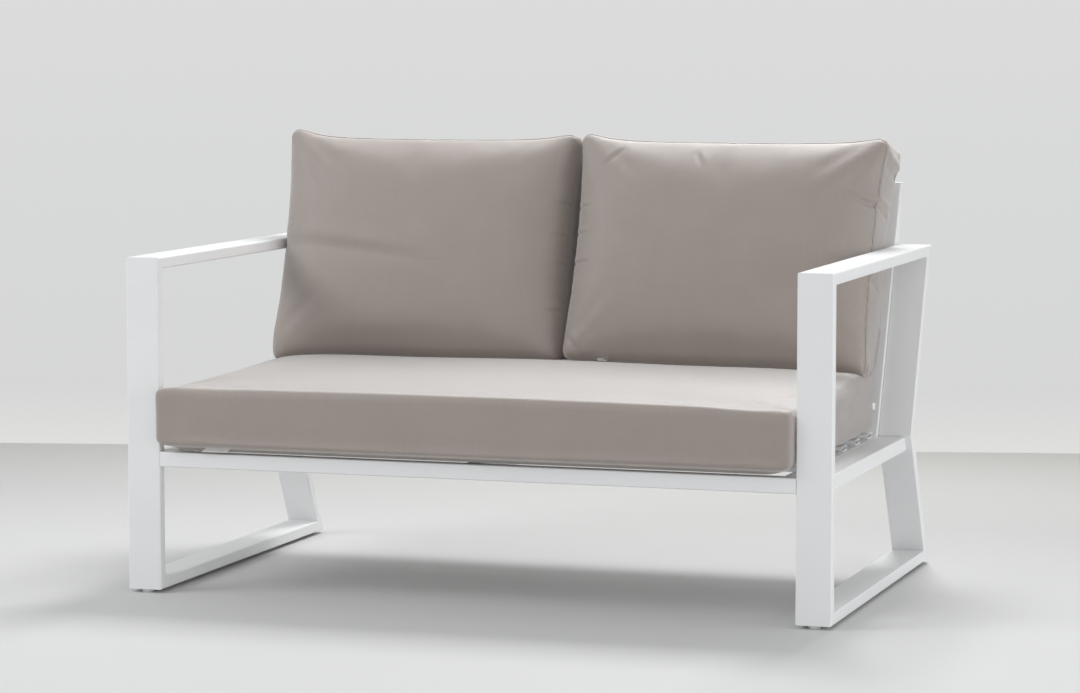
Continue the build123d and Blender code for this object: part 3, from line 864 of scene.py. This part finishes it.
def settle_cushion(points, side):
    """The set of a cushion that was sat against: its top leans out and its corners stand up."""
    x, up, depth = points.T
    rise = np.clip(up / back_height, 0, 1.1)
    share = np.clip(depth / back_depth, 0, 1)
    out = points.copy()
    if side < 0:
        out[:, 0] += left_lean * rise
        out[:, 2] += gap_turn * np.exp(-np.maximum(back_half - x, 0) / gap_width) * (1 - share)
    else:
        out[:, 0] += (right_lean[0] + right_lean[1] * x / back_half) * rise
        out[:, 0] -= rear_narrowing * share * np.clip(x / back_half, 0, 1)
        loose = bell(x - back_half, loose_widths[0]) * bell(up - loose_up, loose_widths[1])
        out[:, 0] -= loose_boxing * loose * share
    for corner_x, corner_up, ear, raise_by in corner_sets[side]:
        away = np.hypot(x - corner_x * back_half, up - corner_up * back_height)
        near, tip = bell(away, ear_width), corner_up * bell(away, tip_width)
        out[:, 0] += corner_x * (ear * near + tip_pull[0] * tip)
        out[:, 1] += raise_by * near + tip_pull[1] * tip
    tuck = np.exp(-np.maximum(up, 0) / tuck_width) * (1 - smooth_steps(0.0, tuck_reach, depth))
    out[:, 2] += tuck_depth * tuck
    return out


def off_line(across, up, start, end):
    """How far points are off a line, across and up, and at what share of the line they are."""
    run_x, run_up = end[0] - start[0], end[1] - start[1]
    x, up = across - start[0], up - start[1]
    share = np.clip((x * run_x + up * run_up) / (run_x**2 + run_up**2), 0, 1)
    return x - share * run_x, up - share * run_up, share


def outer_boxing(points):
    """1 on a cushion's outer side, and 0 elsewhere."""
    return smooth_steps(back_half - boxing_edge[0], back_half - boxing_edge[1], points[:, 0])


def fold(away, width, ridge, ridge_place, ridge_width):
    """The profile of a fold: a valley, and a ridge of this height beside it."""
    return bell(away, width) - ridge * bell(away - ridge_place, ridge_width)


def press_crease(points, start, end, width, depth):
    """How deep a soft fold in the front face goes: a valley with a low ridge above."""
    away_x, away_up, share = off_line(points[:, 0], points[:, 1], start, end)
    away = np.hypot(away_x, away_up)
    fade = np.sin(math.pi * np.clip(0.12 + 0.76 * share, 0, 1))
    valley = fold(away, width, 0.6 * (away_up > 0), 1.6 * width, 1.3 * width)
    return -depth * valley * fade * (points[:, 2] < face_reach)


def press_fold(points, up, start, end, width, depth):
    """A level fold across the outer boxing: a valley with a ridge above it."""
    fade = smooth_steps(start, start + fold_fade, points[:, 2])
    fade *= 1 - smooth_steps(end - fold_fade, end, points[:, 2])
    valley = fold(points[:, 1] - up, width, 0.8, 1.7 * width, 1.2 * width)
    return -depth * valley * fade * outer_boxing(points)


def sew_end_fold(points):
    """The fold that the zip's end pulls into the outer boxing, down and forward from the rear."""
    away = np.full(len(points), np.inf)
    for start, end in zip(end_fold, end_fold[1:]):
        away_x, away_up, _ = off_line(points[:, 2], points[:, 1], start, end)
        away = np.minimum(away, np.hypot(away_x, away_up))
    return -end_fold_depth * fold(away, *end_fold_profile) * outer_boxing(points)


def meet_in_middle(world, local, side):
    """Lets the two boxings swell into the gap, deep inside it, until they all but touch."""
    x, up, depth = local.T
    share = depth / back_depth
    swell = smooth_steps(*meet_start, share) * (1 - smooth_steps(*meet_end, share))
    inner = smooth_steps(back_half - meet_edge[0], back_half - meet_edge[1], -side * x)
    tall = smooth_steps(0, meet_fade, up)
    tall *= 1 - smooth_steps(back_height - meet_fade, back_height, up)
    room = np.abs(world[:, 0]) - 2 * back_apart
    world[:, 0] -= side * room * swell * inner * tall * (side * world[:, 0] > 0)


def rest_on_seat(world, clear):
    """Lets a cushion's lowest part follow the seat cushion that it stands on."""
    out = world.copy()
    end, rear = seat_high.x - end_inset, seat_high.y - rear_inset
    for i in np.nonzero(world[:, 2] < back_bottom + heel_height)[0]:
        x, y, z = world[i]
        over = Vector((min(max(x, -end), end), min(y, rear), above_seat))
        hit = seat_skin.ray_cast(over, Vector((0, 0, -1)))[0]
        weight = 1 - smooth_steps(0, heel_fade, z - back_bottom - clear)
        out[i, 2] = max(z - (back_bottom - hit.z) * weight, hit.z + clear)
    return out


def lay_piping(name, seam, body):
    """A thin round piping along a closed seam, as a mesh."""
    curve = bpy.data.curves.new(name, "CURVE")
    curve.dimensions = "3D"
    curve.bevel_depth = piping_radius
    curve.bevel_resolution = 2
    spline = curve.splines.new("POLY")
    spline.points.add(len(seam) - 1)
    for point, place in zip(spline.points, seam):
        point.co = (*place, 1)
    spline.use_cyclic_u = True
    drawn = place_object(name, curve)
    graph = bpy.context.evaluated_depsgraph_get()
    mesh = bpy.data.meshes.new_from_object(drawn.evaluated_get(graph), depsgraph=graph)
    bpy.data.objects.remove(drawn)
    piece = place_object(name, mesh)
    clothe(piece, leaning_cloth)
    smooth_faces(piece)
    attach(piece, body)
    return piece


# Folds in the front faces: from one place to another, with their width and depth
creases = {
    -1: (
        ((-0.322, 0.239), (0.02, 0.196), 0.016, 0.0040),
        ((0.325, 0.338), (0.295, 0.336), 0.004, 0.0022),
        ((0.325, 0.268), (0.292, 0.269), 0.004, 0.0024),
        ((0.325, 0.206), (0.290, 0.207), 0.004, 0.0022),
        ((0.325, 0.131), (0.296, 0.133), 0.004, 0.0020),
        ((0.325, 0.108), (0.288, 0.104), 0.005, 0.0026),
    ),
    1: (
        ((0.265, 0.356), (0.333, 0.336), 0.006, 0.0040),
        ((-0.324, 0.327), (-0.288, 0.327), 0.0035, 0.0022),
        ((-0.324, 0.269), (-0.284, 0.269), 0.0035, 0.0024),
        ((-0.324, 0.206), (-0.278, 0.206), 0.0035, 0.0024),
        ((-0.258, 0.418), (-0.226, 0.452), 0.006, 0.0018),
        ((-0.066, 0.446), (-0.054, 0.418), 0.006, 0.0016),
        ((-0.313, 0.052), (-0.280, 0.014), 0.006, 0.0020),
    ),
}
# Folds across the right boxing: their height, where they start and end, their width and depth
boxing_folds = (
    (0.437, 0.005, 0.150, 0.009, 0.0055),
    (0.345, -0.020, 0.105, 0.008, 0.0060),
    (0.185, -0.010, 0.080, 0.010, 0.0030),
)
# The fold at the zip's end, as places back and up
end_fold = (
    (0.118, 0.105), (0.115, 0.070), (0.104, 0.043), (0.082, 0.026), (0.050, 0.018), (0.018, 0.024)
)
end_fold_depth, end_fold_profile = 0.0065, (0.0035, 0.35, 0.008, 0.005)
fold_fade, face_reach = 0.03, 0.004
seam_groove, groove_width = 0.0012, 0.0035
gather_depth, top_gather = 0.0010, 0.0005
gather_reach, gather_start, gather_seed = 0.016, 0.004, 11.3
arm_top, arm_inside, arm_swell = 0.675, 0.6495, 0.009
arm_near_z, arm_near_y = (0.60, 0.63), (0.20, 0.235)
top_band = 0.05
face_play, face_edge = 0.0002, (0.006, 0.03)
under_held, seam_held = (0.003, 0.015), (0.003, 0.009)
least_puff, free_puff = 0.0008, 0.008
sunk_band, sunk_out, sewn_out = 0.015, -1.3, 0.3


def crown_front(cushion, centre, side):
    """Gives a cushion's flat front its crown, rolled over at the seams, and its belly."""
    at = to_cushion(read_points(cushion), centre)
    x, up, depth = at.T
    bow_x = 1 - np.clip(x / back_half, -1, 1) ** 2
    bow_up = 1 - np.clip(up / (back_height / 2) - 1, -1, 1) ** 2
    from_side = np.maximum(back_half - back_pull * bow_up - np.abs(x) - skin_gap, 0)
    from_top = np.maximum(back_height - back_pull * bow_x - up - skin_gap, 0)
    from_under = np.maximum(up - skin_gap, 0)
    side_roll = np.where(side * x < 0, inner_roll[side], outer_roll)
    crown = front_crown * (1 - np.exp(-from_side / side_roll)) * (1 - np.exp(-from_top / top_roll))
    crown *= 1 - sum(part * np.exp(-from_under / roll) for part, roll in under_rolls)
    crown += front_belly * bow_x * bow_up
    face = depth < skin_gap + face_play
    depth[:] = np.where(face, skin_gap - crown, depth)
    from_seam = np.minimum(np.minimum(from_side, from_top), from_under)
    inner = face * smooth_steps(*face_edge, from_seam)
    at = even_out(cushion, at, even_times, inner[:, None])
    move_points(cushion, from_cushion(at, centre))


def stuff_cushion(cushion, centre, seams):
    """Swells a back cushion between its seams and what it stands on."""
    world = read_points(cushion)
    at = to_cushion(world, centre)
    near = np.minimum(*(along_seam(at, seam)[0] for seam in seams))
    under = 1 - smooth_steps(*under_held, world[:, 2] - back_bottom)
    held = np.clip(np.maximum(1 - smooth_steps(*seam_held, near), under), 0, 1)
    stuff(cushion, held, least_puff + free_puff * (1 - held), back_slack)


def sewn_relief(at, side, seams):
    """How far the skin stands in or out at each point: seam grooves, gathers and folds."""
    shift = np.zeros(len(at))
    near_top = smooth_steps(back_height - top_band, back_height, at[:, 1])
    gathers = gather_depth - top_gather * near_top
    for number, seam in enumerate(seams):
        away, run = along_seam(at, seam)
        shift += -seam_groove * bell(away, groove_width)
        beside = np.exp(-away / gather_reach) * (1 - bell(away, gather_start))
        shift += gathers * pucker_rows(run, gather_seed * number + side) * beside
    for crease in creases[side]:
        shift += press_crease(at, *crease)
    if side > 0:
        for boxing_fold in boxing_folds:
            shift += press_fold(at, *boxing_fold)
        shift += sew_end_fold(at)
    return shift[:, None]


def fit_between(world):
    """Keeps a cushion between the armrests, where it swells a little behind and above them."""
    _, y, z = world.T
    beside_arm = smooth_steps(*arm_near_z, z) + smooth_steps(*arm_near_y, y)
    wider = arm_swell * (1 - np.clip(beside_arm, 0, 1))
    room = np.where(z < arm_top, arm_inside + wider, np.inf)
    world[:, 0] = np.clip(world[:, 0], -room, room)
    world[:, 2] = np.maximum(world[:, 2], back_bottom)


seat_skin = BVHTree.FromObject(seat_cushion, bpy.context.evaluated_depsgraph_get())
for side_name, side in zip(sides, (-1, 1)):
    body = f"{side_name}_back_cushion"
    centre = side * (back_half + back_apart)
    seams = [seam_line(depth, seam_inset) for depth in (seam_inset, back_depth - seam_inset)]
    cushion = even_skin(f"{body}_body", f"{body}_filling", back_quad)
    crown_front(cushion, centre, side)
    stuff_cushion(cushion, centre, seams)
    subdivide_once(cushion)
    world = read_points(cushion)
    relief = sewn_relief(to_cushion(world, centre), side, seams)
    world = world + read_rows(cushion.data.vertex_normals, "vector") * relief
    local = to_cushion(world, centre)
    world = from_cushion(settle_cushion(local, side), centre)
    meet_in_middle(world, local, side)
    fit_between(world)
    move_points(cushion, rest_on_seat(world, heel_gap))
    clothe(cushion, leaning_cloth)
    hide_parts(f"{body}_cover", f"{body}_filling")
    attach(cushion, body)
    skin = BVHTree.FromObject(cushion, bpy.context.evaluated_depsgraph_get())
    for seam_name, seam in zip(("front", "rear"), seams):
        line = from_cushion(settle_cushion(seam, side), centre)
        line = rest_on_seat(line, piping_radius)
        for i, place in enumerate(line):
            sewn_at, outward = skin.find_nearest(Vector(place))[:2]
            sunk = side < 0 and seam[i, 0] > back_half - sunk_band
            line[i] = sewn_at + outward * piping_radius * (sunk_out if sunk else sewn_out)
        line = (np.roll(line, 1, axis=0) + 2 * line + np.roll(line, -1, axis=0)) / 4
        lay_piping(f"{body}_{seam_name}_piping", line, body)

# Back label: one more blank white ribbon, caught in the lower front seam of the right back
# cushion. It lies on the seat cushion and turns up in front of the seam.
back_tag = (
    (0.0965, 0.1400, 0.4365),
    (0.0965, 0.1110, 0.4368),
    (0.0965, 0.1020, 0.4385),
    (0.0965, 0.0980, 0.4435),
)
back_ribbon = sew_ribbons("right_back_cushion_ribbon", (back_tag, (0.0135, 0, 0)))
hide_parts("right_back_cushion_label")
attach(back_ribbon, "right_back_cushion")

scene.view_settings.view_transform = "Standard"
